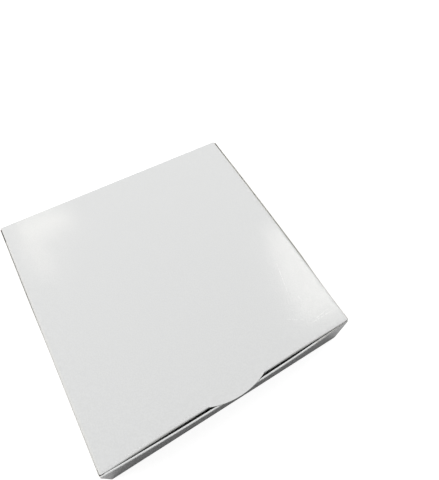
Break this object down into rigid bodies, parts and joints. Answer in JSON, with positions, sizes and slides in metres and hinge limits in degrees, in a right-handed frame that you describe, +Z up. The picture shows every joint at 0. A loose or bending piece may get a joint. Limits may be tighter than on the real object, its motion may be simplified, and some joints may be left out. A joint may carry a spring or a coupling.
{
  "type": "pastry box",
  "caption": "Square white folding-carton pastry box with a hinged tuck-in lid lifted by a thumb tab, and a gold card tray with an arched handle resting inside.",
  "frame": {"origin": "middle of the box's underside, on the table", "axes": "+Z up, +X to the right seen from the front, front with the thumb tab towards -Y, lid hinge at +Y"},
  "size_m": [0.25, 0.2562, 0.05],
  "materials": {
    "white_board": "satin white coating outside, uncoated white inside",
    "gold_card": "gold foil above, plain white board below"
  },
  "bodies": {
    "base": {"carton_base": "white_board", "gold_tray": "gold_card"},
    "lid": {"lid": "white_board"}
  },
  "joints": [
    {"name": "lid_hinge", "type": "hinge", "parent": "base", "child": "lid", "pos_m": [0, 0.127, 0.0495], "axis": [-1, 0, 0], "range_deg": [0, 175]}
  ]
}
